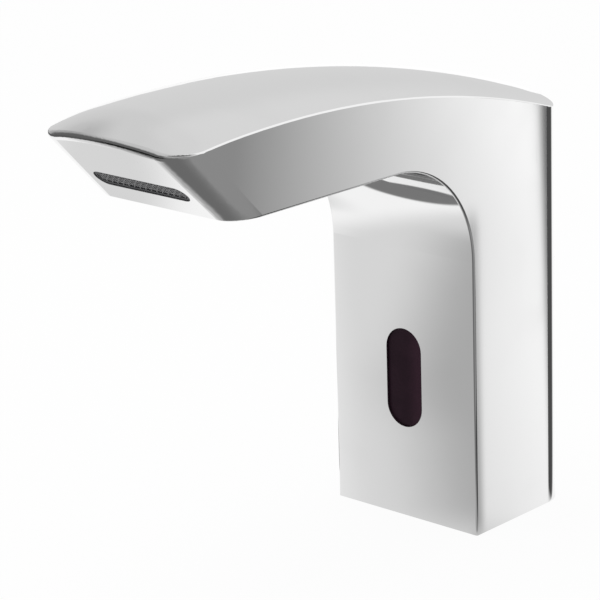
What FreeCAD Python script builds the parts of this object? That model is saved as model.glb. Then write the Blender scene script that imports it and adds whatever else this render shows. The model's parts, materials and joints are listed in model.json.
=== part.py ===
import FreeCAD, Part
import os
from math import cos, sin, sqrt, radians, pi
from FreeCAD import Vector, Placement, Rotation

# Sensor tap for a basin deck. Millimetres, +Z up, spout towards -Y.
# The origin is the middle of the column's footprint, on the deck.

# ---------------------------------------------------------------- column
column_width = 52.0
column_depth = 43.0
wall = 3.0
rear_corner_radius = 10.0
outer_edge_radius = 0.6

# ---------------------------------------------------------------- spout, side view
# Reaches are measured forward from the column's front face.
arch_radius = 32.0
underside_height = 112.5
underside_rise = 0.8
underside_reach = 93.2
outlet_face_angle = 45.0
nose_block_length = 15.0

# ---------------------------------------------------------------- spout, top
spout_side_height = 23.3
crown_rise = 5.8
ridge_radius = 392.0
ridge_apex_reach = 84.0
crease_radius = 342.0
crease_apex_reach = 74.0
nose_roll_length = 17.0
ridge_roll_radius = 26.5
crease_roll_radius = 71.0
nose_corner_radius_low = 7.0
nose_corner_radius_high = 9.0
nose_lip_radius = 1.6
crease_fillet_radius = 0.5
crown_stations = 8
overshoot = 5.0

# ---------------------------------------------------------------- shared clearances
past = 1.0
sink = 0.5
fit_gap = 0.1
slip_gap = 0.05
press_gap = 0.02

# ---------------------------------------------------------------- outlet slot
slot_width = 33.0
slot_height = 6.2
slot_centre_up_face = 10.5
slot_depth = 14.0
cassette_recess = 0.3
cassette_length = 9.0
cassette_clearance = 0.1
cassette_wall = 0.8
mesh_thickness = 0.6
mesh_hole_width = 1.1
mesh_web = 0.32
diffuser_thickness = 1.0
diffuser_setback = 4.0
diffuser_hole_radius = 0.9
diffuser_pitch = 3.2
diffuser_rows = 2
diffuser_columns = 8
mesh_rows = 3
mesh_columns = 19
outlet_seal_width = 1.5
outlet_seal_depth = 0.5
outlet_seal_setback = 2.6

# ---------------------------------------------------------------- sensor
window_width = 12.8
window_height = 29.5
window_centre_height = 41.9
window_recess = 0.8
window_clearance = 0.1
window_flange_border = 1.7
window_flange_thickness = 1.5
window_gasket_thickness = 0.6
sensor_case_depth = 8.0
sensor_case_wall = 1.2
sensor_case_border = 0.6
sensor_screen_thickness = 1.2
sensor_screen_gap = 0.5
sensor_board_thickness = 1.2
sensor_board_setback = 0.6
sensor_board_edge_gap = 0.3
lamp_rim_height = 0.8
lamp_rim_border = 0.4
sensor_pitch = 16.0
emitter_radius = 2.0
emitter_length = 4.6
status_led_radius = 1.5
status_led_length = 3.4
clamp_thickness = 1.5
clamp_width = 8.0
clamp_boss_radius = 3.4
clamp_boss_gap = 0.8
clamp_screw_length = 7.0

# ---------------------------------------------------------------- base
base_plate_thickness = 6.0
base_plate_clearance = 0.15
base_gasket_width = 1.6
base_gasket_thickness = 1.5
stud_hole_radius = 3.4
stud_boss_radius = 6.5
stud_boss_height = 12.0
stud_boss_roof = 2.0
base_lug_height = 8.0
lug_radius = 3.8
lug_inset = 5.0
gland_radius = 4.4
gland_bore_radius = 2.4
gland_lip = 1.2
gland_foot_gap = 0.3
gland_inset = 10.0

# ---------------------------------------------------------------- screws
screw_radius = 1.5
screw_tap_radius = 1.25
screw_hole_clearance = 0.2
screw_head_radius = 2.75
screw_head_height = 2.4
small_screw_head_radius = 2.2
screw_socket_radius = 1.2
screw_socket_depth = 1.4
screw_recess = 2.9
tap_end_gap = 1.0

# ---------------------------------------------------------------- inlet and check valve
check_wall_gap = 1.6
inlet_thread_radius = 4.5
inlet_thread_length = 9.0
inlet_stem_radius = 5.6
inlet_flange_radius = 6.2
inlet_flange_height = 3.0
inlet_spigot_radius = 5.0
inlet_spigot_length = 5.0
water_bore_radius = 3.0
inlet_foot_gap = 0.5
inlet_groove_height = 1.6
inlet_seal_section = 0.6
strainer_wall = 0.4
strainer_length = 4.0
strainer_slot_width = 0.6
strainer_slot_length = 3.2
strainer_slot_pitch = 1.4
check_radius = 6.0
check_chamber_radius = 5.0
check_seat_rise = 1.0
check_seat_thickness = 2.0
poppet_radius = 3.9
poppet_thickness = 2.0
poppet_nose_height = 0.8
poppet_stem_radius = 1.2
poppet_stem_length = 11.0
check_spring_length = 7.0
check_spring_radius = 2.2
check_spring_turns = 5
check_guide_thickness = 3.0
guide_ports = 6
guide_port_radius = 1.0
running_clearance = 0.05
rest_gap = 0.05
spring_wire_radius = 0.3

# ---------------------------------------------------------------- solenoid valve
valve_to_inlet = 6.6
valve_rear_gap = 1.7
valve_block_bottom = 38.0
valve_block_height = 14.0
valve_side_gap = 2.0
valve_block_depth = 19.1
valve_block_corner = 4.0
seat_radius = 5.0
seat_bore_radius = 3.4
seat_drop = 0.8
inlet_ring_radius = 8.2
inlet_ring_depth = 5.5
inlet_port_radius = 1.5
passage_radius = 2.6
passage_rise = 5.0
diaphragm_radius = 9.8
diaphragm_rim_thickness = 1.4
diaphragm_web_thickness = 0.6
diaphragm_web_rise = 0.4
diaphragm_join = 0.3
insert_hub_radius = 3.1
insert_hub_drop = 3.0
insert_flange_radius = 5.2
insert_flange_overlap = 0.2
insert_flange_rise = 0.8
insert_waist_radius = 1.9
insert_waist_gap = 0.6
pilot_hole_radius = 0.7
bonnet_width = 20.0
bonnet_depth = 19.0
bonnet_corner = 2.0
bonnet_height = 6.6
bonnet_chamber_height = 3.6
bonnet_screw_spacing_x = 16.4
bonnet_screw_spacing_y = 15.4
bonnet_screw_recess = 3.6
bonnet_screw_head_radius = 1.8
bonnet_screw_length = 10.3
bonnet_screw_slot_width = 0.6
bonnet_screw_slot_depth = 0.7
plunger_radius = 4.0
plunger_length = 17.4
plunger_seal_radius = 2.0
plunger_seal_height = 1.0
plunger_seal_socket_depth = 1.5
plunger_flat_depth = 0.25
plunger_flat_width = 1.6
plunger_travel = 2.5
core_tube_wall = 0.6
core_tube_end_wall = 0.8
core_neck_radius = 2.0
core_tube_flange_radius = 6.2
core_tube_flange_height = 1.2
core_length = 5.0
core_gap = 1.0
plunger_spring_recess = 2.0
plunger_spring_radius = 2.4
plunger_spring_room = 0.6
plunger_spring_turns = 4.5
bobbin_wall = 0.8
bobbin_flange_radius = 9.0
bobbin_flange_thickness = 1.0
winding_length = 14.0
winding_thickness = 2.8
yoke_thickness = 1.5
yoke_depth = 15.0
yoke_gap = 0.4
coil_nut_height = 3.0
coil_nut_width = 8.0
coil_stub_radius = 2.5
coil_stub_rise = 2.5

# ---------------------------------------------------------------- outlet tube and posts
tube_radius = 4.0
tube_wall = 1.0
tube_wall_gap = 6.0
tube_rise_above_underside = 9.5
tube_bend_radius = 28.0
tube_nose_above_underside = 14.5
tube_end_overlap = 5.0
tube_socket_depth = 6.0
tube_nut_width = 13.0
tube_nut_height = 6.0
post_radius = 2.2
post_wall_gap = 2.6
post_front_wall = 0.25
post_spigot_length = 4.0
post_screw_length = 7.0

# ---------------------------------------------------------------- control module
control_width = 12.0
control_depth = 12.0
control_side_gap = 2.0
control_rear_gap = 4.0
control_bottom = 14.0
control_height = 20.0
control_lid_height = 2.0
control_board_gap = 0.3
control_wall = 1.2
control_board_thickness = 1.2
control_corner_radius = 2.0

# ---------------------------------------------------------------- worked-out places
half_width = column_width / 2
front_y = -column_depth / 2
rear_y = column_depth / 2
cavity_half_width = half_width - wall
cavity_front = front_y + wall
cavity_rear = rear_y - wall
nose_low_y = front_y - underside_reach
nose_low_z = underside_height + underside_rise
cavity_nose_y = nose_low_y + nose_block_length
face_angle = radians(outlet_face_angle)
crease_apex_height = underside_height + spout_side_height
ridge_apex_height = crease_apex_height + crown_rise
nose_roll_start = underside_reach + crease_apex_height - underside_height - nose_roll_length
tall = ridge_apex_height + overshoot

valve_block_top = valve_block_bottom + valve_block_height
seat_top = valve_block_top - seat_drop
bonnet_bottom = valve_block_top + diaphragm_rim_thickness
bonnet_top = bonnet_bottom + bonnet_height
insert_top = bonnet_bottom + insert_flange_rise
plunger_bottom = insert_top + rest_gap + plunger_seal_height
plunger_top = plunger_bottom + plunger_length
core_bottom = plunger_top + plunger_travel + core_gap
core_top = core_bottom + core_length
core_tube_radius = plunger_radius + running_clearance + core_tube_wall
bobbin_radius = core_tube_radius + fit_gap + bobbin_wall
coil_bottom = bonnet_top + yoke_thickness
coil_top = coil_bottom + winding_length + 2 * bobbin_flange_thickness

inlet_x = cavity_half_width - check_wall_gap - check_radius
valve_x = inlet_x - valve_to_inlet
valve_y = cavity_rear - valve_rear_gap - valve_block_depth / 2
inlet_y = valve_y
valve_block_left = valve_side_gap - cavity_half_width
valve_block_right = cavity_half_width - valve_side_gap
tube_x = tube_wall_gap + tube_radius - cavity_half_width
post_x = cavity_half_width - post_wall_gap - post_radius
post_y = valve_y - valve_block_depth / 2 + screw_tap_radius + post_front_wall
post_positions = ((post_x, post_y), (-post_x, post_y))
base_lug_x = cavity_half_width - lug_inset
base_lug_y = cavity_front + lug_inset
rear_lug_y = cavity_rear - lug_inset
gland_x = gland_inset - cavity_half_width
gland_y = cavity_rear - gland_inset
control_left = control_side_gap - cavity_half_width
control_right = control_left + control_width
control_rear = cavity_rear - control_rear_gap
control_front = control_rear - control_depth

check_bottom = base_plate_thickness + inlet_flange_height
check_seat_z = check_bottom + inlet_spigot_length + check_seat_rise
check_seat_top = check_seat_z + check_seat_thickness
poppet_bottom = check_seat_top + rest_gap
poppet_top = poppet_bottom + poppet_thickness
check_guide_bottom = poppet_top + check_spring_length

window_back = front_y + wall
gasket_back = window_back + window_gasket_thickness
flange_back = gasket_back + window_flange_thickness
window_flange_width = window_width + 2 * window_flange_border
window_flange_height = window_height + 2 * window_flange_border
sensor_case_width = window_flange_width + 2 * sensor_case_border
sensor_case_height = window_flange_height + 2 * sensor_case_border
sensor_room_width = window_flange_width - 2 * sensor_case_wall
sensor_room_height = window_flange_height - 2 * sensor_case_wall
sensor_case_back = flange_back + sensor_case_depth
clamp_boss_offset = sensor_case_height / 2 + clamp_boss_gap + clamp_boss_radius
clamp_back = sensor_case_back + clamp_thickness


# ================================================================ basic solids
def box(x0, x1, y0, y1, z0, z1):
    return Part.makeBox(x1 - x0, y1 - y0, z1 - z0, Vector(x0, y0, z0))


def upright_cylinder(radius, z0, z1, x=0.0, y=0.0):
    return Part.makeCylinder(radius, z1 - z0, Vector(x, y, z0))


def ring(outer, inner, z0, z1, x=0.0, y=0.0):
    return upright_cylinder(outer, z0, z1, x, y).cut(upright_cylinder(inner, z0, z1, x, y))


def cylinder_along(start, end, radius):
    return Part.makeCylinder(radius, (end - start).Length, start, end - start)


def hexagon_prism(across_flats, z0, z1, x, y):
    corner = across_flats / sqrt(3)
    points = [Vector(x + corner * cos(k * pi / 3), y + corner * sin(k * pi / 3), z0)
              for k in range(7)]
    return Part.Face(Part.makePolygon(points)).extrude(Vector(0, 0, z1 - z0))


def rounded_block(x0, x1, y0, y1, z0, z1, radius):
    block = box(x0, x1, y0, y1, z0, z1)
    upright = [e for e in block.Edges if abs(e.Vertexes[0].X - e.Vertexes[-1].X) < 1e-6
               and abs(e.Vertexes[0].Y - e.Vertexes[-1].Y) < 1e-6]
    return block.makeFillet(radius, upright)


def stadium_wire(width, height):
    """A slot with round ends in the XZ plane, about the origin, long side along the larger size."""
    radius = min(width, height) / 2
    a, b = width / 2 - radius, height / 2 - radius
    if height >= width:
        low, high = Vector(0, 0, -b), Vector(0, 0, b)
        side = Vector(radius, 0, 0)
        cap = Vector(0, 0, radius)
    else:
        low, high = Vector(-a, 0, 0), Vector(a, 0, 0)
        side = Vector(0, 0, radius)
        cap = Vector(radius, 0, 0)
    return Part.Wire([
        Part.makeLine(low + side, high + side),
        Part.Arc(high + side, high + cap, high - side).toShape(),
        Part.makeLine(high - side, low - side),
        Part.Arc(low - side, low - cap, low + side).toShape(),
    ])


def stadium_prism(width, height, y0, y1, z):
    face = Part.Face(stadium_wire(width, height))
    face.translate(Vector(0, y0, z))
    return face.extrude(Vector(0, y1 - y0, 0))


def fuse(first, *others):
    return first.multiFuse(list(others)).removeSplitter()


def group(solids):
    return Part.makeCompound(solids)


# ================================================================ outer form
def arc_height(y, radius, apex_height, apex_reach, roll_radius):
    """Height of a long arc over the spout at depth y, with the softer fall just behind the nose."""
    reach = front_y - y
    height = apex_height - radius + sqrt(radius ** 2 - (reach - apex_reach) ** 2)
    past_roll = max(0.0, reach - nose_roll_start)
    return height - past_roll ** 2 / (2 * roll_radius)


def ridge_height(y):
    return arc_height(y, ridge_radius, ridge_apex_height, ridge_apex_reach, ridge_roll_radius)


def crease_height(y):
    return arc_height(y, crease_radius, crease_apex_height, crease_apex_reach, crease_roll_radius)


def crown_section(y, drop):
    """One cross-section of the crowned top: an arc through both creases and the ridge."""
    ridge, crease = ridge_height(y), crease_height(y)
    crown = ridge - crease
    radius = (half_width ** 2 + crown ** 2) / (2 * crown)
    reach = half_width + overshoot
    side = ridge - radius + sqrt(radius ** 2 - reach ** 2) - drop
    left, right = Vector(-reach, y, side), Vector(reach, y, side)
    top = Vector(0, y, ridge - drop)
    low_left, low_right = Vector(-reach, y, -overshoot), Vector(reach, y, -overshoot)
    return Part.Wire([
        Part.Arc(left, top, right).toShape(),
        Part.makeLine(right, low_right),
        Part.makeLine(low_right, low_left),
        Part.makeLine(low_left, left),
    ])


def crowned_block(drop):
    """Everything under the crowned top, lowered by drop."""
    rear, front = rear_y + overshoot, nose_low_y - (ridge_apex_height - nose_low_z)
    roll_y = front_y - nose_roll_start
    stations = [rear + (roll_y - rear) * k / crown_stations for k in range(crown_stations)]
    stations += [roll_y + (front - roll_y) * k / crown_stations for k in range(crown_stations + 1)]
    return Part.makeLoft([crown_section(y, drop) for y in stations], True, False)


def side_profile(inset, nose_y, with_outlet_face):
    """The column, arch and spout seen from the side, as a face in the YZ plane at x = 0."""
    arch = arch_radius + inset
    centre_y = front_y - arch_radius
    centre_z = underside_height - arch_radius
    slope = underside_rise / (underside_reach - arch_radius)
    tilt = -slope / sqrt(1 + slope ** 2)
    top = Vector(0, centre_y + arch * tilt, centre_z + arch * sqrt(1 - tilt ** 2))
    middle = Vector(0, centre_y + arch * cos(pi / 4), centre_z + arch * sin(pi / 4))
    foot = Vector(0, front_y + inset, centre_z)
    low_z = top.z + (top.y - nose_y) * slope
    low = Vector(0, nose_y, low_z)
    base_z = -overshoot if inset else 0.0
    lean = (tall - low_z) / (sin(face_angle) / cos(face_angle)) if with_outlet_face else 0.0
    points = [foot, Vector(0, front_y + inset, base_z), Vector(0, rear_y - inset, base_z),
              Vector(0, rear_y - inset, tall), Vector(0, nose_y - lean, tall), low, top]
    edges = [Part.makeLine(a, b) for a, b in zip(points, points[1:])]
    edges.append(Part.Arc(top, middle, foot).toShape())
    return Part.Face(Part.Wire(edges))


def edges_where(shape, test):
    return [e for e in shape.Edges if test(e)]


def is_upright_at(edge, x, y):
    upright = abs(edge.Vertexes[0].Z - edge.Vertexes[-1].Z) > 1
    return upright and all(abs(abs(v.X) - x) < 1e-4 and abs(v.Y - y) < 1e-4 for v in edge.Vertexes)


def is_on_outlet_face(edge):
    """True for an edge that runs up the side of the slanted outlet face."""
    on_side = all(abs(abs(v.X) - half_width) < 1e-4 for v in edge.Vertexes)
    low, high = sorted(v.Z for v in edge.Vertexes)
    return on_side and abs(low - nose_low_z) < 1 and abs(high - tall) < 1


def edge_middle(edge):
    return edge.valueAt((edge.FirstParameter + edge.LastParameter) / 2)


def fillet_by_edge(shape, radii):
    """Round several edges at once; radii holds (edge number, first radius, last radius)."""
    document = FreeCAD.newDocument("rounding")
    base = document.addObject("Part::Feature", "base")
    base.Shape = shape
    rounded = document.addObject("Part::Fillet", "rounded")
    rounded.Base = base
    rounded.Edges = radii
    document.recompute()
    result = rounded.Shape.copy()
    FreeCAD.closeDocument(document.Name)
    return result.Solids[0]


def top_edge_radii(shape):
    """Crisp creases along the sides and rear of the top, growing to a soft lip across the nose."""
    top = max(shape.Faces, key=lambda face: face.CenterOfMass.z)
    loop = top.OuterWire.OrderedEdges
    radii, leading_sense = [], None
    for number, edge in enumerate(shape.Edges, 1):
        match = [other for other in loop if edge.isSame(other)]
        if not match:
            continue
        ends = []
        for parameter in (edge.FirstParameter, edge.LastParameter):
            at_front = abs(edge.valueAt(parameter).x) < half_width - nose_corner_radius_low / 2
            in_nose = edge_middle(edge).y < nose_low_y
            ends.append(nose_lip_radius if at_front and in_nose else crease_fillet_radius)
        # The chain of edges is walked one way, so an edge that runs against it swaps its ends.
        leading_sense = leading_sense or match[0].Orientation
        if match[0].Orientation != leading_sense:
            ends.reverse()
        radii.append((number, ends[0], ends[1]))
    return radii


def is_lower_edge(edge):
    """True for the column's front corners, the arch's and the underside's edges and the nose's lower edge."""
    middle = edge_middle(edge)
    at_side = abs(abs(middle.x) - half_width) < 1e-3
    at_column_front = at_side and abs(middle.y - front_y) < 1e-3
    on_arch = at_side and front_y - arch_radius < middle.y < front_y and middle.z < underside_height
    in_underside = abs(middle.z - underside_height) < 1.0 and middle.y < front_y - arch_radius - 1
    return at_column_front or on_arch or in_underside


def envelope():
    """The casting's outside as one solid block."""
    face = side_profile(0.0, nose_low_y, True)
    face.translate(Vector(-half_width, 0, 0))
    block = face.extrude(Vector(column_width, 0, 0))
    block = block.makeFillet(rear_corner_radius,
                             edges_where(block, lambda e: is_upright_at(e, half_width, rear_y)))
    growth = (nose_corner_radius_high - nose_corner_radius_low) / (ridge_apex_height - nose_low_z)
    radius_at_tall = nose_corner_radius_low + growth * (tall - nose_low_z)
    block = block.makeFillet(radius_at_tall, nose_corner_radius_low,
                             edges_where(block, is_on_outlet_face))
    block = block.common(crowned_block(0.0)).Solids[0]
    block = fillet_by_edge(block, top_edge_radii(block))
    return block.makeFillet(outer_edge_radius, edges_where(block, is_lower_edge)).Solids[0]


# ================================================================ outlet face places
face_up = Vector(0, -cos(face_angle), sin(face_angle))
face_in = Vector(0, sin(face_angle), cos(face_angle))
slot_centre = Vector(0, nose_low_y, nose_low_z) + face_up * slot_centre_up_face
# The prism's own Y axis turns to point into the outlet face.
outlet_rotation = Rotation(Vector(1, 0, 0), 90.0 - outlet_face_angle)


def across_outlet(width, height, near, far):
    """A slot-shaped prism square to the outlet face, from depth near to depth far behind it."""
    face = Part.Face(stadium_wire(width, height))
    solid = face.extrude(Vector(0, far - near, 0))
    solid.Placement = Placement(slot_centre + face_in * near, outlet_rotation)
    return solid


# ================================================================ casting
def cavity():
    face = side_profile(wall, cavity_nose_y, False)
    face.translate(Vector(-cavity_half_width, 0, 0))
    hollow = face.extrude(Vector(2 * cavity_half_width, 0, 0))
    rear = edges_where(hollow, lambda e: is_upright_at(e, cavity_half_width, cavity_rear))
    hollow = hollow.makeFillet(rear_corner_radius - wall, rear)
    return hollow.common(crowned_block(wall)).Solids[0]


def base_lug(x, y):
    """A screw boss in the column's foot, run out to the nearest wall."""
    z0, z1 = base_plate_thickness, base_plate_thickness + base_lug_height
    boss = upright_cylinder(lug_radius, z0, z1, x, y)
    if x:
        side = 1 if x > 0 else -1
        in_wall = side * (half_width - past)
        web = box(min(x, in_wall), max(x, in_wall), front_y + past, y + lug_radius, z0, z1)
        foot = box(x - lug_radius, x + lug_radius, front_y + past, y, z0, z1)
        boss = boss.fuse([web, foot])
    else:
        boss = boss.fuse(box(-lug_radius, lug_radius, y, rear_y - past, z0, z1))
    tap = upright_cylinder(screw_tap_radius, z0, z1 - tap_end_gap, x, y)
    return boss.cut(tap)


base_screw_places = ((base_lug_x, base_lug_y), (-base_lug_x, base_lug_y), (0.0, rear_lug_y))


def clamp_boss(side):
    z = window_centre_height + side * clamp_boss_offset
    boss = cylinder_along(Vector(0, front_y + past, z), Vector(0, sensor_case_back, z), clamp_boss_radius)
    tap_end = sensor_case_back - clamp_screw_length - tap_end_gap
    tap = cylinder_along(Vector(0, tap_end, z), Vector(0, sensor_case_back, z), screw_tap_radius)
    return boss.cut(tap)


def tube_points():
    """Corner points of the outlet tube's middle line."""
    rise = Vector(tube_x, inlet_y, underside_height + tube_rise_above_underside)
    nose = Vector(0, cavity_nose_y, underside_height + tube_nose_above_underside)
    return Vector(tube_x, inlet_y, valve_block_top - tube_socket_depth), rise, nose


def tube_end():
    _, rise, nose = tube_points()
    way = (nose - rise).normalize()
    return nose + way * tube_end_overlap, way


def body_shell():
    shell = envelope().cut(cavity())
    shell = shell.fuse([base_lug(x, y) for x, y in base_screw_places])
    shell = shell.fuse([clamp_boss(-1), clamp_boss(1)])
    window = stadium_prism(window_width, window_height, front_y - past, window_back + past,
                           window_centre_height)
    pocket = across_outlet(slot_width, slot_height, -past, slot_depth)
    end, way = tube_end()
    socket = cylinder_along(end - way * (tube_end_overlap + 2 * past), end, tube_radius + slip_gap)
    pocket_rear = slot_centre + face_in * slot_depth
    water_way = cylinder_along(end - way * past, end + way * (end.y - pocket_rear.y + past),
                               tube_radius - tube_wall)
    return shell.cut([window, pocket, socket, water_way]).removeSplitter()


# ================================================================ screws
def cap_screw(head_under, tip, head_radius=screw_head_radius):
    """A socket-head screw: head_under is the point under its head, tip the end of its thread."""
    way = (tip - head_under).normalize()
    head = cylinder_along(head_under - way * screw_head_height, head_under, head_radius)
    shank = cylinder_along(head_under, tip, screw_tap_radius)
    top = head_under - way * screw_head_height
    socket = cylinder_along(top, top + way * screw_socket_depth, screw_socket_radius)
    return head.fuse(shank).cut(socket)


# ================================================================ sensor
def sensor_window():
    z = window_centre_height
    lens = stadium_prism(window_width - 2 * window_clearance, window_height - 2 * window_clearance,
                         front_y + window_recess, gasket_back, z)
    flange = stadium_prism(window_flange_width, window_flange_height, gasket_back, flange_back, z)
    return fuse(lens, flange)


def window_gasket():
    z = window_centre_height
    outer = stadium_prism(window_flange_width, window_flange_height, window_back, gasket_back, z)
    return outer.cut(stadium_prism(window_width, window_height, window_back - past, gasket_back + past, z))


def sensor_case():
    z = window_centre_height
    outer = stadium_prism(sensor_case_width, sensor_case_height, window_back, sensor_case_back, z)
    bore = stadium_prism(window_flange_width + 2 * slip_gap, window_flange_height + 2 * slip_gap,
                         window_back - past, flange_back, z)
    room = stadium_prism(sensor_room_width, sensor_room_height, flange_back - past,
                         sensor_case_back - sensor_case_wall, z)
    # The screen stands between the emitter and the status lamp and keeps stray light off the receiver.
    screen_z = z + sensor_pitch / 4
    screen = box(-sensor_room_width / 2, sensor_room_width / 2,
                 flange_back + sensor_screen_gap, board_front() - fit_gap,
                 screen_z - sensor_screen_thickness / 2, screen_z + sensor_screen_thickness / 2)
    return outer.cut([bore, room]).fuse(screen)


def board_front():
    return sensor_case_back - sensor_case_wall - sensor_board_setback - sensor_board_thickness


def sensor_board():
    return stadium_prism(sensor_room_width - 2 * sensor_board_edge_gap,
                         sensor_room_height - 2 * sensor_board_edge_gap,
                         board_front(), board_front() + sensor_board_thickness, window_centre_height)


def domed_lamp(radius, z, length):
    front = board_front() - length
    barrel = cylinder_along(Vector(0, front + radius, z), Vector(0, board_front(), z), radius)
    dome = Part.makeSphere(radius, Vector(0, front + radius, z))
    dome = dome.common(box(-radius, radius, front, front + radius, z - radius, z + radius))
    rim = cylinder_along(Vector(0, board_front() - lamp_rim_height, z), Vector(0, board_front(), z),
                         radius + lamp_rim_border)
    return fuse(barrel, dome, rim)


def sensor_clamp():
    z = window_centre_height
    reach = clamp_boss_offset + clamp_boss_radius
    strip = stadium_prism(clamp_width, 2 * reach, sensor_case_back, clamp_back, z)
    holes = [cylinder_along(Vector(0, sensor_case_back - past, z + side * clamp_boss_offset),
                            Vector(0, clamp_back + past, z + side * clamp_boss_offset),
                            screw_radius + screw_hole_clearance) for side in (-1, 1)]
    return strip.cut(holes)


def sensor_clamp_screws():
    screws = []
    for side in (-1, 1):
        z = window_centre_height + side * clamp_boss_offset
        screws.append(cap_screw(Vector(0, clamp_back, z),
                                Vector(0, sensor_case_back - clamp_screw_length, z)))
    return group(screws)


# ================================================================ base
def footprint(inset, z0, z1):
    """A slab of the cavity's own outline, inset all round."""
    x, front, rear = cavity_half_width - inset, cavity_front + inset, cavity_rear - inset
    slab = box(-x, x, front, rear, z0, z1)
    rear_edges = edges_where(slab, lambda e: is_upright_at(e, x, rear))
    return slab.makeFillet(rear_corner_radius - wall - inset, rear_edges)


def base_plate():
    plate = footprint(base_plate_clearance, base_gasket_thickness, base_plate_thickness)
    inset = base_plate_clearance + base_gasket_width
    plate = plate.fuse(footprint(inset, 0.0, base_gasket_thickness))
    plate = plate.fuse(upright_cylinder(stud_boss_radius, base_plate_thickness, stud_boss_height))
    cuts = [upright_cylinder(stud_hole_radius, -past, stud_boss_height - stud_boss_roof),
            upright_cylinder(inlet_stem_radius + fit_gap, -past, base_plate_thickness + past,
                             inlet_x, inlet_y),
            upright_cylinder(gland_radius, -past, base_plate_thickness + past, gland_x, gland_y)]
    seats = [(place, screw_head_radius) for place in base_screw_places]
    seats += [(place, small_screw_head_radius) for place in post_positions]
    for (x, y), head_radius in seats:
        cuts.append(upright_cylinder(screw_radius + screw_hole_clearance, -past,
                                     base_plate_thickness + past, x, y))
        cuts.append(upright_cylinder(head_radius + screw_hole_clearance, -past, screw_recess, x, y))
    return plate.cut(cuts).removeSplitter()


def base_gasket():
    outer = footprint(base_plate_clearance, 0.0, base_gasket_thickness)
    return outer.cut(footprint(base_plate_clearance + base_gasket_width, -past,
                               base_gasket_thickness + past))


def base_screws():
    tip = base_plate_thickness + base_lug_height - 2 * tap_end_gap
    return group([cap_screw(Vector(x, y, screw_recess), Vector(x, y, tip))
                  for x, y in base_screw_places])


def cable_gland():
    lip_top = base_plate_thickness + gland_lip
    body = upright_cylinder(gland_radius, gland_foot_gap, lip_top, gland_x, gland_y)
    lip = upright_cylinder(gland_radius + gland_lip, base_plate_thickness, lip_top, gland_x, gland_y)
    bore = upright_cylinder(gland_bore_radius, -past, lip_top + past, gland_x, gland_y)
    return fuse(body, lip).cut(bore)


def valve_posts():
    posts = []
    for x, y in post_positions:
        post = upright_cylinder(post_radius, base_plate_thickness, valve_block_bottom, x, y)
        spigot = upright_cylinder(screw_tap_radius, valve_block_bottom,
                                  valve_block_bottom + post_spigot_length - sink, x, y)
        tap = upright_cylinder(screw_tap_radius, base_plate_thickness - past,
                               base_plate_thickness + post_screw_length + tap_end_gap, x, y)
        posts.append(fuse(post, spigot).cut(tap))
    return group(posts)


def post_screws():
    tip = base_plate_thickness + post_screw_length
    return group([cap_screw(Vector(x, y, screw_recess), Vector(x, y, tip), small_screw_head_radius)
                  for x, y in post_positions])


# ================================================================ inlet and check valve
def inlet_nipple():
    top = check_bottom + inlet_spigot_length
    stem = upright_cylinder(inlet_stem_radius, inlet_foot_gap, base_plate_thickness + sink,
                            inlet_x, inlet_y)
    flange = upright_cylinder(inlet_flange_radius, base_plate_thickness, check_bottom, inlet_x, inlet_y)
    spigot = upright_cylinder(inlet_spigot_radius, check_bottom - sink, top, inlet_x, inlet_y)
    nipple = fuse(stem, flange, spigot)
    thread = upright_cylinder(inlet_thread_radius, 0.0, inlet_foot_gap + inlet_thread_length,
                              inlet_x, inlet_y)
    bore = upright_cylinder(water_bore_radius, 0.0, top + past, inlet_x, inlet_y)
    groove_z = check_bottom + (inlet_spigot_length - inlet_groove_height) / 2
    groove = ring(inlet_spigot_radius + past, inlet_spigot_radius - 2 * inlet_seal_section + fit_gap,
                  groove_z, groove_z + inlet_groove_height, inlet_x, inlet_y)
    return nipple.cut([thread, bore, groove])


def inlet_seal():
    groove_z = check_bottom + inlet_spigot_length / 2
    return Part.makeTorus(inlet_spigot_radius + fit_gap - inlet_seal_section,
                          inlet_seal_section - press_gap, Vector(inlet_x, inlet_y, groove_z))


def inlet_strainer():
    """A cup with slots, standing in the nipple's bore above the thread."""
    z0 = inlet_foot_gap + inlet_thread_length
    z1 = z0 + strainer_length
    outer = water_bore_radius - press_gap
    cup = upright_cylinder(outer, z0, z1, inlet_x, inlet_y)
    cup = cup.cut(upright_cylinder(outer - strainer_wall, z0 - past, z1 - strainer_wall,
                                   inlet_x, inlet_y))
    holes = []
    for step in (-1, 0, 1):
        x = inlet_x + step * strainer_slot_pitch
        holes.append(box(x - strainer_slot_width / 2, x + strainer_slot_width / 2,
                         inlet_y - strainer_slot_length / 2, inlet_y + strainer_slot_length / 2,
                         z1 - past, z1 + past))
    return cup.cut(holes)


def check_valve_body():
    body = upright_cylinder(check_radius, check_bottom, valve_block_bottom, inlet_x, inlet_y)
    socket = upright_cylinder(inlet_spigot_radius + fit_gap, check_bottom - past, check_seat_z,
                              inlet_x, inlet_y)
    seat = upright_cylinder(water_bore_radius, check_seat_z - past, check_seat_top + past,
                            inlet_x, inlet_y)
    chamber = upright_cylinder(check_chamber_radius, check_seat_top, valve_block_bottom + past,
                               inlet_x, inlet_y)
    return body.cut([socket, seat, chamber])


def check_poppet():
    disc = upright_cylinder(poppet_radius, poppet_bottom + poppet_nose_height, poppet_top,
                            inlet_x, inlet_y)
    nose = Part.makeCone(poppet_radius - poppet_nose_height, poppet_radius, poppet_nose_height,
                         Vector(inlet_x, inlet_y, poppet_bottom))
    stem = upright_cylinder(poppet_stem_radius, poppet_top - sink, poppet_top + poppet_stem_length,
                            inlet_x, inlet_y)
    return fuse(disc, nose, stem)


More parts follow.
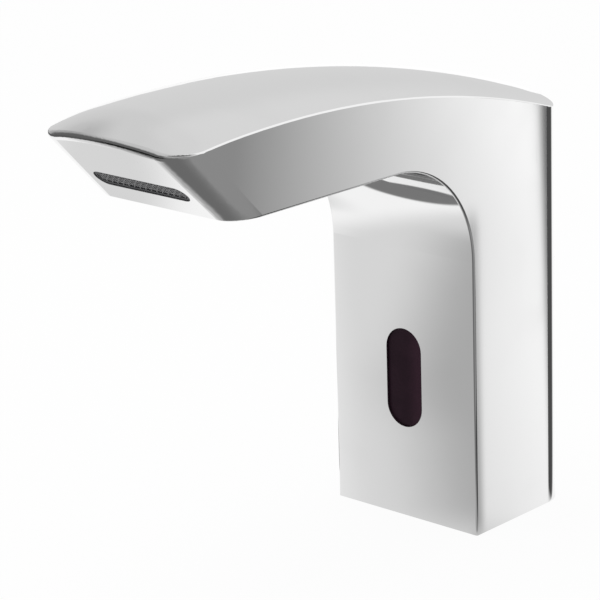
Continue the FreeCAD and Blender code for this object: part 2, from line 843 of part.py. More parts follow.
def check_guide():
    top = check_guide_bottom + check_guide_thickness
    guide = upright_cylinder(check_chamber_radius, check_guide_bottom, top, inlet_x, inlet_y)
    cuts = [upright_cylinder(poppet_stem_radius + running_clearance, check_guide_bottom - past,
                             top + past, inlet_x, inlet_y)]
    port_circle = (check_chamber_radius + poppet_stem_radius) / 2
    for k in range(guide_ports):
        angle = 2 * pi * k / guide_ports
        cuts.append(upright_cylinder(guide_port_radius, check_guide_bottom - past, top + past,
                                     inlet_x + port_circle * cos(angle),
                                     inlet_y + port_circle * sin(angle)))
    return guide.cut(cuts)


def coil_spring(radius, wire, z0, z1, turns, x, y):
    """A round-wire spring between two levels, wire centres a radius inside each."""
    height = z1 - z0 - 2 * wire
    helix = Part.makeHelix(height / turns, height, radius)
    start = Vector(radius, 0, 0)
    section = Part.Wire([Part.makeCircle(wire, start, Vector(0, 1, 0))])
    spring = Part.Wire(helix.Edges).makePipeShell([section], True, True)
    spring.translate(Vector(x, y, z0 + wire))
    return spring


def check_spring():
    return coil_spring(check_spring_radius, spring_wire_radius, poppet_top + press_gap,
                       check_guide_bottom - press_gap, check_spring_turns, inlet_x, inlet_y)


# ================================================================ solenoid valve
def valve_block():
    y0 = valve_y - valve_block_depth / 2
    block = rounded_block(valve_block_left, valve_block_right, y0, y0 + valve_block_depth,
                          valve_block_bottom, valve_block_top, valve_block_corner)
    ring_floor = valve_block_top - inlet_ring_depth
    block = block.cut(upright_cylinder(inlet_ring_radius, ring_floor, valve_block_top + past,
                                       valve_x, valve_y))
    block = block.fuse(upright_cylinder(seat_radius, ring_floor - past, seat_top, valve_x, valve_y))
    passage_z = valve_block_bottom + passage_rise
    cuts = [
        upright_cylinder(seat_bore_radius, passage_z, valve_block_top, valve_x, valve_y),
        cylinder_along(Vector(valve_x, valve_y, passage_z), Vector(tube_x, inlet_y, passage_z),
                       passage_radius),
        upright_cylinder(tube_radius - tube_wall, passage_z, valve_block_top, tube_x, inlet_y),
        upright_cylinder(tube_radius + slip_gap, valve_block_top - tube_socket_depth,
                         valve_block_top + past, tube_x, inlet_y),
        upright_cylinder(inlet_port_radius, valve_block_bottom - past, ring_floor + past,
                         inlet_x, inlet_y),
    ]
    for x, y in post_positions:
        cuts.append(upright_cylinder(screw_tap_radius, valve_block_bottom - past,
                                     valve_block_bottom + post_spigot_length, x, y))
    tap_end = bonnet_top - bonnet_screw_recess - bonnet_screw_length - tap_end_gap / 2
    for x, y in bonnet_screw_places():
        cuts.append(upright_cylinder(screw_tap_radius, tap_end, valve_block_top + past, x, y))
    return block.cut(cuts).removeSplitter()


def bonnet_screw_places():
    return [(valve_x + sx * bonnet_screw_spacing_x / 2, valve_y + sy * bonnet_screw_spacing_y / 2)
            for sx in (-1, 1) for sy in (-1, 1)]


def diaphragm():
    rim = ring(diaphragm_radius, inlet_ring_radius, valve_block_top, bonnet_bottom, valve_x, valve_y)
    web_z = valve_block_top + diaphragm_web_rise
    web = ring(inlet_ring_radius + diaphragm_join, seat_radius - diaphragm_join,
               web_z, web_z + diaphragm_web_thickness, valve_x, valve_y)
    centre = ring(seat_radius, insert_hub_radius, seat_top + rest_gap,
                  bonnet_bottom - insert_flange_overlap, valve_x, valve_y)
    return fuse(rim, web, centre)


def diaphragm_insert():
    flange = upright_cylinder(insert_flange_radius, bonnet_bottom - insert_flange_overlap, insert_top,
                              valve_x, valve_y)
    hub_bottom = seat_top - insert_hub_drop
    hub = upright_cylinder(insert_hub_radius, hub_bottom, insert_top - sink, valve_x, valve_y)
    bore = upright_cylinder(pilot_hole_radius, hub_bottom - past, insert_top + past, valve_x, valve_y)
    waist = ring(insert_hub_radius + past, insert_waist_radius, hub_bottom - past,
                 seat_top - insert_waist_gap, valve_x, valve_y)
    return fuse(flange, hub).cut([bore, waist])


def valve_bonnet():
    bonnet = rounded_block(valve_x - bonnet_width / 2, valve_x + bonnet_width / 2,
                           valve_y - bonnet_depth / 2, valve_y + bonnet_depth / 2,
                           bonnet_bottom, bonnet_top, bonnet_corner)
    chamber = upright_cylinder(inlet_ring_radius, bonnet_bottom - past,
                               bonnet_bottom + bonnet_chamber_height, valve_x, valve_y)
    core_hole = upright_cylinder(core_tube_radius + press_gap, bonnet_bottom, bonnet_top + past,
                                 valve_x, valve_y)
    counterbore = upright_cylinder(core_tube_flange_radius, bonnet_top - core_tube_flange_height,
                                   bonnet_top + past, valve_x, valve_y)
    cuts = [chamber, core_hole, counterbore]
    for x, y in bonnet_screw_places():
        cuts.append(upright_cylinder(screw_tap_radius + fit_gap, bonnet_bottom - past,
                                     bonnet_top + past, x, y))
        cuts.append(upright_cylinder(bonnet_screw_head_radius + fit_gap,
                                     bonnet_top - bonnet_screw_recess, bonnet_top + past, x, y))
    return bonnet.cut(cuts)


def bonnet_screws():
    screws = []
    for x, y in bonnet_screw_places():
        head_under = bonnet_top - bonnet_screw_recess
        head_top = head_under + bonnet_screw_head_radius
        head = upright_cylinder(bonnet_screw_head_radius, head_under, head_top, x, y)
        shank = upright_cylinder(screw_tap_radius, head_under - bonnet_screw_length, head_under, x, y)
        slot = box(x - bonnet_screw_head_radius, x + bonnet_screw_head_radius,
                   y - bonnet_screw_slot_width / 2, y + bonnet_screw_slot_width / 2,
                   head_top - bonnet_screw_slot_depth, head_top + past)
        screws.append(head.fuse(shank).cut(slot))
    return group(screws)


def plunger():
    body = upright_cylinder(plunger_radius, plunger_bottom, plunger_top, valve_x, valve_y)
    recess = upright_cylinder(plunger_spring_radius + plunger_spring_room,
                              plunger_top - plunger_spring_recess, plunger_top + past,
                              valve_x, valve_y)
    flats = []
    for side in (-1, 1):
        x = valve_x + side * (plunger_radius - plunger_flat_depth)
        flats.append(box(min(x, x + side * past), max(x, x + side * past),
                         valve_y - plunger_flat_width / 2, valve_y + plunger_flat_width / 2,
                         plunger_bottom - past, plunger_top + past))
    socket = upright_cylinder(plunger_seal_radius, plunger_bottom - past,
                              plunger_bottom + plunger_seal_socket_depth, valve_x, valve_y)
    return body.cut([recess, socket] + flats)


def plunger_seal():
    return upright_cylinder(plunger_seal_radius, plunger_bottom - plunger_seal_height,
                            plunger_bottom + plunger_seal_socket_depth, valve_x, valve_y)


def core_tube():
    z0 = bonnet_top - core_tube_flange_height
    tube = upright_cylinder(core_tube_radius, z0, core_top, valve_x, valve_y)
    flange = upright_cylinder(core_tube_flange_radius - slip_gap, z0, bonnet_top, valve_x, valve_y)
    bore = upright_cylinder(plunger_radius + running_clearance, z0 - past,
                            core_top - core_tube_end_wall, valve_x, valve_y)
    neck_hole = upright_cylinder(core_neck_radius, z0, core_top + past, valve_x, valve_y)
    return fuse(tube, flange).cut([bore, neck_hole])


def fixed_core():
    core = upright_cylinder(plunger_radius + running_clearance, core_bottom,
                            core_top - core_tube_end_wall, valve_x, valve_y)
    stub = upright_cylinder(coil_stub_radius, core_top, core_top + coil_nut_height + coil_stub_rise,
                            valve_x, valve_y)
    neck = upright_cylinder(core_neck_radius, core_top - core_tube_end_wall - sink, core_top + sink,
                            valve_x, valve_y)
    return fuse(core, neck, stub)


def plunger_spring():
    return coil_spring(plunger_spring_radius, spring_wire_radius,
                       plunger_top - plunger_spring_recess + press_gap, core_bottom - press_gap,
                       plunger_spring_turns, valve_x, valve_y)


def coil_bobbin():
    tube = ring(bobbin_radius, core_tube_radius + fit_gap, coil_bottom, coil_top, valve_x, valve_y)
    low = ring(bobbin_flange_radius, core_tube_radius + fit_gap, coil_bottom,
               coil_bottom + bobbin_flange_thickness, valve_x, valve_y)
    high = ring(bobbin_flange_radius, core_tube_radius + fit_gap, coil_top - bobbin_flange_thickness,
                coil_top, valve_x, valve_y)
    return fuse(tube, low, high)


def coil_winding():
    return ring(bobbin_radius + winding_thickness, bobbin_radius, coil_bottom + bobbin_flange_thickness,
                coil_top - bobbin_flange_thickness, valve_x, valve_y)


def coil_yoke():
    reach = bobbin_flange_radius + yoke_gap
    y0, y1 = valve_y - yoke_depth / 2, valve_y + yoke_depth / 2
    left, right = valve_x - reach, valve_x + reach + yoke_thickness
    low = box(left, right, y0, y1, bonnet_top, coil_bottom)
    high = box(left, right, y0, y1, coil_top, coil_top + yoke_thickness)
    side = box(right - yoke_thickness, right, y0, y1, bonnet_top, coil_top + yoke_thickness)
    hole = upright_cylinder(core_tube_radius + fit_gap, bonnet_top - past,
                            coil_top + yoke_thickness + past, valve_x, valve_y)
    return fuse(low, high, side).cut(hole)


def coil_nut():
    bottom = max(core_top, coil_top + yoke_thickness)
    nut = hexagon_prism(coil_nut_width, bottom, bottom + coil_nut_height, valve_x, valve_y)
    return nut.cut(upright_cylinder(coil_stub_radius, bottom - past, bottom + coil_nut_height + past,
                                    valve_x, valve_y))


# ================================================================ outlet tube
def outlet_tube():
    """A bent metal tube from the valve block to the nose, on a line, an arc and a line."""
    start, corner, _ = tube_points()
    end, way = tube_end()
    up = Vector(0, 0, 1)
    turn = up.getAngle(way)
    back = tube_bend_radius * sin(turn / 2) / cos(turn / 2)
    first, last = corner - up * back, corner + way * back
    inward = (way - up).normalize()
    middle = corner + inward * (tube_bend_radius / cos(turn / 2) - tube_bend_radius)
    path = Part.Wire([Part.makeLine(start, first), Part.Arc(first, middle, last).toShape(),
                      Part.makeLine(last, end)])
    outer = path.makePipeShell([Part.Wire([Part.makeCircle(tube_radius, start, up)])], True, True)
    inner = path.makePipeShell([Part.Wire([Part.makeCircle(tube_radius - tube_wall, start, up)])],
                               True, True)
    return outer.cut(inner)


def tube_nut():
    nut = hexagon_prism(tube_nut_width, valve_block_top, valve_block_top + tube_nut_height,
                        tube_x, inlet_y)
    return nut.cut(upright_cylinder(tube_radius + slip_gap, valve_block_top - past,
                                    valve_block_top + tube_nut_height + past, tube_x, inlet_y))


# ================================================================ outlet cassette
def seal_land(near, far):
    """The slot-shaped floor of the seal's groove."""
    return across_outlet(slot_width - 2 * outlet_seal_depth, slot_height - 2 * outlet_seal_depth,
                         near, far)


def outlet_cassette():
    width, height = slot_width - 2 * cassette_clearance, slot_height - 2 * cassette_clearance
    near, far = cassette_recess, cassette_recess + cassette_length
    frame = across_outlet(width, height, near, far)
    bore = across_outlet(width - 2 * cassette_wall, height - 2 * cassette_wall, near - past, far + past)
    groove_near = far - outlet_seal_setback
    groove_far = groove_near + outlet_seal_width
    groove = across_outlet(slot_width + past, slot_height + past, groove_near, groove_far)
    return frame.cut(bore).cut(groove.cut(seal_land(groove_near - past, groove_far + past)))


def outlet_seal():
    near = cassette_recess + cassette_length - outlet_seal_setback
    far = near + outlet_seal_width
    return across_outlet(slot_width, slot_height, near, far).cut(seal_land(near - past, far + past))


def perforated_plate(near, thickness, hole, rows, columns, pitch):
    width = slot_width - 2 * (cassette_clearance + cassette_wall)
    height = slot_height - 2 * (cassette_clearance + cassette_wall)
    plate = across_outlet(width, height, near, near + thickness)
    cutters = []
    for row in range(rows):
        for column in range(columns):
            shift = 0.5 if row % 2 else 0.0
            across = (column - (columns - 1) / 2 + shift - 0.25) * pitch
            up = (row - (rows - 1) / 2) * pitch * sqrt(3) / 2
            centre = slot_centre + face_in * (near - past) + Vector(across, 0, 0) + face_up * up
            points = []
            for k in range(7):
                angle = pi / 6 + k * pi / 3
                points.append(centre + Vector(hole * cos(angle), 0, 0) + face_up * (hole * sin(angle)))
            cutters.append(Part.Face(Part.makePolygon(points)).extrude(face_in * (thickness + 2 * past)))
    return plate.cut(cutters)


def outlet_mesh():
    hole = mesh_hole_width / sqrt(3)
    pitch = mesh_hole_width + mesh_web
    return perforated_plate(cassette_recess, mesh_thickness, hole, mesh_rows, mesh_columns, pitch)


def flow_diffuser():
    return perforated_plate(cassette_recess + diffuser_setback, diffuser_thickness,
                            diffuser_hole_radius, diffuser_rows, diffuser_columns, diffuser_pitch)


# ================================================================ control module
def control_outline(inset, z0, z1):
    return rounded_block(control_left + inset, control_right - inset, control_front + inset,
                         control_rear - inset, z0, z1, control_corner_radius - min(inset, control_wall / 2))


def control_case():
    lid_z = control_bottom + control_height - control_lid_height
    case = control_outline(0.0, control_bottom, lid_z)
    room = control_outline(control_wall, control_bottom + control_wall, lid_z + past)
    entry = upright_cylinder(gland_bore_radius, control_bottom - past,
                             control_bottom + control_wall + past, gland_x, gland_y)
    return case.cut([room, entry])


def control_lid():
    top = control_bottom + control_height
    return control_outline(0.0, top - control_lid_height, top)


def control_board():
    z = control_bottom + control_height / 2
    inset = control_wall + control_board_gap
    return control_outline(inset, z, z + control_board_thickness)


# ================================================================ nodes
def nodes():
    emitter_z = window_centre_height + sensor_pitch / 2
    receiver_z = window_centre_height - sensor_pitch / 2
    return {
        "body_shell": body_shell(),
        "sensor_window": sensor_window(),
        "window_gasket": window_gasket(),
        "sensor_case": sensor_case(),
        "sensor_board": sensor_board(),
        "infrared_emitter": domed_lamp(emitter_radius, emitter_z, emitter_length),
        "infrared_receiver": domed_lamp(emitter_radius, receiver_z, emitter_length),
        "status_led": domed_lamp(status_led_radius, window_centre_height, status_led_length),
        "sensor_clamp": sensor_clamp(),
        "sensor_clamp_screws": sensor_clamp_screws(),
        "base_plate": base_plate(),
        "base_gasket": base_gasket(),
        "base_screws": base_screws(),
        "cable_gland": cable_gland(),
        "valve_posts": valve_posts(),
        "post_screws": post_screws(),
        "inlet_nipple": inlet_nipple(),
        "inlet_seal": inlet_seal(),
        "inlet_strainer": inlet_strainer(),
        "check_valve_body": check_valve_body(),
        "check_poppet": check_poppet(),
        "check_guide": check_guide(),
        "check_spring": check_spring(),
        "valve_block": valve_block(),
        "diaphragm": diaphragm(),
        "diaphragm_insert": diaphragm_insert(),
        "valve_bonnet": valve_bonnet(),
        "bonnet_screws": bonnet_screws(),
        "plunger": plunger(),
        "plunger_seal": plunger_seal(),
        "core_tube": core_tube(),
        "fixed_core": fixed_core(),
        "plunger_spring": plunger_spring(),
        "coil_bobbin": coil_bobbin(),
        "coil_winding": coil_winding(),
        "coil_yoke": coil_yoke(),
        "coil_nut": coil_nut(),
        "outlet_tube": outlet_tube(),
        "tube_nut": tube_nut(),
        "outlet_cassette": outlet_cassette(),
        "outlet_seal": outlet_seal(),
        "outlet_mesh": outlet_mesh(),
        "flow_diffuser": flow_diffuser(),
        "control_case": control_case(),
        "control_lid": control_lid(),
        "control_board": control_board(),
    }


os.makedirs("parts", exist_ok=True)
for name, shape in nodes().items():
    print(name, "solids", len(shape.Solids), "valid", shape.isValid(), "volume", round(shape.Volume, 1))
    shape.exportStep("parts/" + name + ".step")
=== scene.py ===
"""The looks of a deck-mounted sensor tap, dressed round its packed construction model.

Laid out as an add-on: each operator makes one piece or one group of like pieces, and main()
calls them in order. Metres, +Z up, the spout towards -Y, the origin in the middle of the
column's foot. The camera stands in front of the tap on its +X side, which is called its right.
"""
import json
import math

import bpy
from bpy.props import FloatProperty, FloatVectorProperty, PointerProperty
from mathutils import Matrix, Vector


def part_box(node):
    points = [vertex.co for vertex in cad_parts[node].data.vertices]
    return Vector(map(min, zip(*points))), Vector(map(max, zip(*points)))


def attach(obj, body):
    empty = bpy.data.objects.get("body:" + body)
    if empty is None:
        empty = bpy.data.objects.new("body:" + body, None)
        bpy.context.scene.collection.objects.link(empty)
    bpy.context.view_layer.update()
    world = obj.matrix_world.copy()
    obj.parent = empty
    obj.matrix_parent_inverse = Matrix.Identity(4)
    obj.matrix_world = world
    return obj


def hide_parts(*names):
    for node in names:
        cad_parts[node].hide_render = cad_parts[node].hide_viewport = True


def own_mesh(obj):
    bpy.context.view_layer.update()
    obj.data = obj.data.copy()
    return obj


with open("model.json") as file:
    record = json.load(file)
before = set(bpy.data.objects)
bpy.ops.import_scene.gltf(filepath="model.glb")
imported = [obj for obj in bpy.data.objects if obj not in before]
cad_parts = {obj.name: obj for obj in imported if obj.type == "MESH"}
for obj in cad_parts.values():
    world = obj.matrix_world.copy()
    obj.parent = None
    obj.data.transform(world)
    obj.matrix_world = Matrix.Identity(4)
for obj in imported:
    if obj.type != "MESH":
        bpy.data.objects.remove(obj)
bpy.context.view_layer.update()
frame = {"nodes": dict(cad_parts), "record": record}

bl_info = {
    "name": "Sensor tap looks",
    "version": (1, 0, 0),
    "blender": (4, 5, 0),
    "location": "3D View > Sidebar > Tap",
    "description": "Dresses a chrome sensor tap: casting, window, outlet mesh, valve and stage",
    "category": "Object",
}

MM = 0.001


# ------------------------------------------------------------------ sizes and colours
class OutletSizes(bpy.types.PropertyGroup):
    """The woven screen in the outlet slot."""
    wire: FloatProperty(name="Wire", description="Diameter of one wire of the screen",
                        default=0.29 * MM, unit="LENGTH")
    pitch: FloatProperty(name="Pitch", description="Distance between neighbouring wires",
                         default=1.0 * MM, unit="LENGTH")
    depth: FloatProperty(name="Depth", description="Room for the screen square to the outlet face",
                         default=0.6 * MM, unit="LENGTH")


class SpringSizes(bpy.types.PropertyGroup):
    """The two coil springs inside the column."""
    wire: FloatProperty(name="Wire", description="Diameter of the springs' wire", default=0.6 * MM,
                        unit="LENGTH")
    plunger_turns: FloatProperty(name="Plunger turns", description="Turns of the pilot valve's spring",
                                 default=4.5)
    check_turns: FloatProperty(name="Check turns", description="Turns of the check valve's spring",
                               default=5.0)


class ChromeFinish(bpy.types.PropertyGroup):
    """The plated casting."""
    colour: FloatVectorProperty(name="Colour", description="Mirror colour of the plating",
                                subtype="COLOR", size=3, default=(0.905, 0.905, 0.905))
    roughness: FloatProperty(name="Roughness", description="Roughness of the polished plating",
                             default=0.045, min=0.0, max=1.0, subtype="FACTOR")


class WindowFinish(bpy.types.PropertyGroup):
    """The dark window that only passes infrared."""
    deep: FloatVectorProperty(name="Deep colour", description="Colour of the window's left side",
                              subtype="COLOR", size=3, default=(0.018, 0.007, 0.013))
    # The light colour is the painted highlight on the window's right side.
    light: FloatVectorProperty(name="Light colour", description="Colour of the window's right side",
                               subtype="COLOR", size=3, default=(0.040, 0.016, 0.028))


class StageSettings(bpy.types.PropertyGroup):
    """Camera, floor and studio."""
    lens: FloatProperty(name="Lens", description="Focal length on a 36 mm sensor, in millimetres",
                        default=178.0, unit="CAMERA")
    place: FloatVectorProperty(name="Camera place", description="Where the camera stands",
                               subtype="TRANSLATION", unit="LENGTH", size=3,
                               default=(0.51882, -0.62821, 0.31726))
    floor_reach: FloatProperty(name="Floor reach", description="From the tap to the floor's sides",
                               default=3.0, unit="LENGTH")
    diffuse_level: FloatProperty(
        name="Room level", description="Strength of the room's light on matt pieces", default=0.75)
    key_power: FloatProperty(name="Key light", description="Power of the soft light overhead, in watts",
                             default=6.0, unit="POWER")
    key_size: FloatProperty(name="Key size", description="Side of the soft light's square",
                            default=0.9, unit="LENGTH")
    key_place: FloatVectorProperty(name="Key place", description="Where the soft light hangs",
                                   subtype="TRANSLATION", unit="LENGTH", size=3,
                                   default=(-0.25, -0.15, 1.2))


def choices(name):
    """What the user chose in one of the property groups named in GROUPS."""
    return getattr(bpy.context.scene, name)


# ------------------------------------------------------------------ node maths
class Value:
    """A socket that takes part in Python arithmetic: each operator adds one Math node."""

    def __init__(self, nodes, socket):
        self.nodes = nodes
        self.socket = socket

    def _math(self, operation, *terms):
        node = self.nodes.add("ShaderNodeMath", {"operation": operation}, dict(enumerate(terms)))
        return Value(self.nodes, node.outputs[0])

    def __add__(self, other):
        return self._math("ADD", self, other)

    def __sub__(self, other):
        return self._math("SUBTRACT", self, other)

    def __rsub__(self, other):
        return self._math("SUBTRACT", other, self)

    def __mul__(self, other):
        return self._math("MULTIPLY", self, other)

    def __truediv__(self, other):
        return self._math("DIVIDE", self, other)

    def __rtruediv__(self, other):
        return self._math("DIVIDE", other, self)

    def __pow__(self, other):
        return self._math("POWER", self, other)

    def __rpow__(self, other):
        return self._math("POWER", other, self)

    def __abs__(self):
        return self._math("ABSOLUTE", self)

    __radd__ = __add__
    __rmul__ = __mul__

    def sine(self):
        return self._math("SINE", self)

    def cosine(self):
        return self._math("COSINE", self)

    def wave(self):
        """A sine between 0 and 1."""
        return self.sine() * 0.5 + 0.5

    def floor(self):
        """The whole number below."""
        return self._math("FLOOR", self)

    def angle_from(self, other):
        """The angle of the point (other, self), in radians."""
        return self._math("ARCTAN2", self, other)

    def at_most(self, limit):
        return self._math("MINIMUM", self, limit)

    def at_least(self, limit):
        return self._math("MAXIMUM", self, limit)

    def ramp(self, low, high):
        """0 below low, 1 above high, smooth between; low may be the larger."""
        node = self.nodes.add("ShaderNodeMapRange", {"interpolation_type": "SMOOTHERSTEP"},
                              {"Value": self, "From Min": low, "From Max": high})
        return Value(self.nodes, node.outputs[0])

    def towards(self, other, mask):
        """This value where the mask is 0, the other where it is 1."""
        return self + (other - self) * mask

    def darkened(self, mask, depth):
        """This value, less the share depth of it where the mask is 1."""
        return self * (1.0 - mask * depth)


class Nodes:
    """Adds nodes to one shader or geometry tree."""

    def __init__(self, tree):
        self.tree = tree
        tree.nodes.clear()

    def add(self, kind, settings=None, inputs=None):
        """One node: its settings are set first, then the values or links of its sockets."""
        node = self.tree.nodes.new(kind)
        for name, value in (settings or {}).items():
            setattr(node, name, value)
        for name, value in (inputs or {}).items():
            socket = node.inputs[name]
            if isinstance(value, Value):
                self.tree.links.new(value.socket, socket)
            elif isinstance(value, bpy.types.NodeSocket):
                self.tree.links.new(value, socket)
            else:
                socket.default_value = value
        return node

    def place(self):
        """Object coordinates, in metres: the piece's own place in the tap's frame."""
        return self.add("ShaderNodeTexCoord").outputs["Object"]

    def axes(self, vector):
        """The three parts of a vector, as values."""
        parts = self.add("ShaderNodeSeparateXYZ", inputs={0: vector})
        return [Value(self, socket) for socket in parts.outputs]

    def vector(self, x, y, z):
        """A vector from three numbers or values."""
        return self.add("ShaderNodeCombineXYZ", inputs={0: x, 1: y, 2: z}).outputs[0]

    def grey(self, level):
        """A colour with the same level in all three parts."""
        return self.vector(level, level, level)

    def noise(self, vector, scale, detail=3.0, roughness=0.5):
        """Soft noise around 0.5; scale is how often it varies in a metre."""
        node = self.add("ShaderNodeTexNoise", inputs={
            "Vector": vector, "Scale": scale, "Detail": detail, "Roughness": roughness})
        return Value(self, node.outputs["Fac"])

    def stretched(self, vector, scale):
        """The vector times a scale of three parts; a pattern is drawn out along the smallest."""
        return self.add("ShaderNodeMapping", inputs={"Vector": vector, "Scale": scale}).outputs[0]

    def blend(self, factor, first, second):
        """A colour between two; the node keeps its colours in sockets 6 and 7 and gives output 2."""
        node = self.add("ShaderNodeMix", {"data_type": "RGBA"},
                        {"Factor": factor, 6: as_colour(first), 7: as_colour(second)})
        return node.outputs[2]

    def bump(self, height, depth, strength):
        """The normal of a surface whose marks are this deep, in metres."""
        node = self.add("ShaderNodeBump", inputs={
            "Height": height, "Distance": depth, "Strength": strength})
        return node.outputs[0]

    def emission(self, colour):
        """A surface that gives off this colour at strength 1."""
        node = self.add("ShaderNodeEmission", inputs={"Color": colour, "Strength": 1.0})
        return node.outputs[0]

    def finish(self, **sockets):
        """The Principled shader, linked to the material's output; names are given with underscores."""
        inputs = {name.replace("_", " "): value for name, value in sockets.items()}
        shader = self.add("ShaderNodeBsdfPrincipled", inputs=inputs)
        self.add("ShaderNodeOutputMaterial", inputs={"Surface": shader.outputs[0]})


def as_colour(value):
    """A socket as it is, or three numbers with an alpha of 1."""
    return value if isinstance(value, bpy.types.NodeSocket) else (*value, 1.0)


def new_material(name):
    """A new material, its nodes and the place of each point on the piece."""
    material = bpy.data.materials.new(name)
    material.use_nodes = True
    nodes = Nodes(material.node_tree)
    return material, nodes, nodes.place()


def distance(x, y, centre):
    """How far a point is from a centre, seen from above."""
    across, along = x - centre[0], y - centre[1]
    return (across * across + along * along) ** 0.5


# ------------------------------------------------------------------ finishes
def multiplied(colour, shares):
    """The colour with each part times its own share."""
    return [part * share for part, share in zip(colour, shares)]


def paled(colour, share):
    """The colour moved by this share of the way to white."""
    return [part + (1.0 - part) * share for part in colour]


def chrome():
    """Polished plating, a little hazy in patches and with fine upright wiping marks."""
    material, nodes, place = new_material("polished_chrome")
    look = choices("tap_chrome")
    haze = nodes.noise(place, scale=45.0, detail=2.0)
    wipe = nodes.noise(nodes.stretched(place, (900.0, 900.0, 60.0)), scale=1.0, detail=2.0)
    hazy = haze.ramp(0.45, 0.75)
    dulled = multiplied(look.colour, (0.985, 0.985, 0.985))
    nodes.finish(Base_Color=nodes.blend(hazy, look.colour, dulled), Metallic=1.0,
                 Roughness=look.roughness + hazy * 0.012 + wipe.ramp(0.55, 0.8) * 0.008)
    return material


def window_plastic():
    """Dark smooth plastic, made lighter towards its right edge by a painted highlight."""
    material, nodes, place = new_material("dark_window")
    look = choices("tap_window")
    # Where the painted highlight begins and where it is full, along x.
    highlight_from, highlight_to = -1.0 * MM, 6.5 * MM
    x, _, _ = nodes.axes(place)
    mist = nodes.noise(place, scale=220.0, detail=2.0).ramp(0.35, 0.7)
    # A painted highlight lightens the colour towards the right; the faint mist is random.
    colour = nodes.blend(x.ramp(highlight_from, highlight_to) * 0.85 + mist * 0.15, look.deep, look.light)
    nodes.finish(Base_Color=colour, Roughness=mist * 0.05 + 0.18, Specular_IOR_Level=0.08)
    return material


def rubber(name, colour):
    """Matt rubber with a fine grain and a dusty bloom."""
    material, nodes, place = new_material(name)
    grain = nodes.noise(place, scale=2600.0, detail=4.0, roughness=0.7)
    bloom = nodes.noise(place, scale=160.0)
    dusty = [min(1.0, part * 1.9 + 0.012) for part in colour]
    nodes.finish(Base_Color=nodes.blend(bloom.ramp(0.35, 0.8) * 0.6, colour, dusty),
                 Roughness=0.62 + grain * 0.2, Normal=nodes.bump(grain, depth=0.05 * MM, strength=0.35))
    return material


def moulded(name, colour, grain_scale=3200.0, roughness=0.42):
    """An injection-moulded plastic with a spark-eroded grain."""
    material, nodes, place = new_material(name)
    grain = nodes.noise(place, grain_scale, roughness=0.6)
    flow = nodes.noise(nodes.stretched(place, (120.0, 120.0, 40.0)), scale=1.0)
    nodes.finish(Base_Color=nodes.blend(flow.ramp(0.3, 0.8) * 0.5, colour, paled(colour, 0.10)),
                 Roughness=roughness + grain * 0.16,
                 Normal=nodes.bump(grain, depth=0.03 * MM, strength=0.3))
    return material


def metal(name, colour, roughness, marks, depth=0.006 * MM, stain=(0.8, 0.8, 0.8)):
    """A machined or drawn metal; marks is how often its fine lines vary in a metre along x, y and z."""
    material, nodes, place = new_material(name)
    lines = nodes.noise(nodes.stretched(place, marks), scale=1.0, roughness=0.65)
    patch = nodes.noise(place, scale=90.0)
    darker = multiplied(colour, stain)
    nodes.finish(Base_Color=nodes.blend(patch.ramp(0.35, 0.85) * 0.7, colour, darker), Metallic=1.0,
                 Roughness=roughness + lines * 0.14 + patch.ramp(0.4, 0.9) * 0.06,
                 Normal=nodes.bump(lines, depth, strength=0.5))
    return material


def turned(name, colour, roughness, centre):
    """A lathe-turned metal with fine rings round an upright axis."""
    material, nodes, place = new_material(name)
    ring_rate = 9500.0  # in radians a metre: a ring every 0.66 mm
    x, y, z = nodes.axes(place)
    rings = (z * ring_rate + nodes.noise(place, scale=300.0, detail=2.0) * 1.5).wave()
    facing = (distance(x, y, centre) * ring_rate).wave()
    patch = nodes.noise(place, scale=140.0)
    marks = rings * 0.6 + facing * 0.4
    warm = multiplied(colour, (0.86, 0.78, 0.66))
    nodes.finish(Base_Color=nodes.blend(patch.ramp(0.4, 0.85) * 0.8, colour, warm), Metallic=1.0,
                 Roughness=roughness + marks * 0.1 + patch * 0.08,
                 Normal=nodes.bump(marks, depth=0.01 * MM, strength=0.35))
    return material


def cast_zinc():
    """A raw zinc casting with fine pits and a cloudy grey."""
    material, nodes, place = new_material("zinc_casting")
    pits = nodes.noise(place, scale=1400.0, detail=5.0, roughness=0.7)
    cloud = nodes.noise(place, scale=110.0)
    pale, dark = (0.50, 0.51, 0.53), (0.36, 0.37, 0.39)
    nodes.finish(Base_Color=nodes.blend(cloud.ramp(0.3, 0.8), pale, dark), Metallic=0.9,
                 Roughness=0.42 + pits * 0.2, Normal=nodes.bump(pits, depth=0.05 * MM, strength=0.5))
    return material


def circuit_board(name, across, along):
    """Green solder mask over copper tracks; across and along are the board's axes, 0 to 2."""
    material, nodes, place = new_material(name)
    solder_mask, over_copper, tin = (0.010, 0.115, 0.045), (0.022, 0.22, 0.09), (0.62, 0.60, 0.55)
    track_rate, bend_rate, pad_rate = 3600.0, 420.0, 1500.0  # in radians a metre
    bend = 0.35 * MM
    axes = nodes.axes(place)
    side, run = axes[across], axes[along]
    tracks = ((side + (run * bend_rate).sine() * bend) * track_rate).sine().ramp(0.55, 0.75)
    pads = ((side * pad_rate).sine() * (run * pad_rate).sine()).ramp(0.72, 0.8)
    green = nodes.blend(tracks * 0.6, solder_mask, over_copper)
    nodes.finish(Base_Color=nodes.blend(pads, green, tin), Metallic=pads * 0.8,
                 Roughness=0.28 + tracks * 0.05 + pads * 0.05,
                 Normal=nodes.bump(tracks, depth=0.03 * MM, strength=0.5))
    return material


def lamp_epoxy(name, colour, clear):
    """The cast lens of a small lamp; clear is the share of light that passes."""
    material, nodes, place = new_material(name)
    swirl = nodes.noise(place, scale=500.0)
    nodes.finish(Base_Color=nodes.blend(swirl.ramp(0.4, 0.8), colour, paled(colour, 0.12)),
                 Roughness=0.08 + swirl * 0.04, IOR=1.52, Transmission_Weight=clear)
    return material


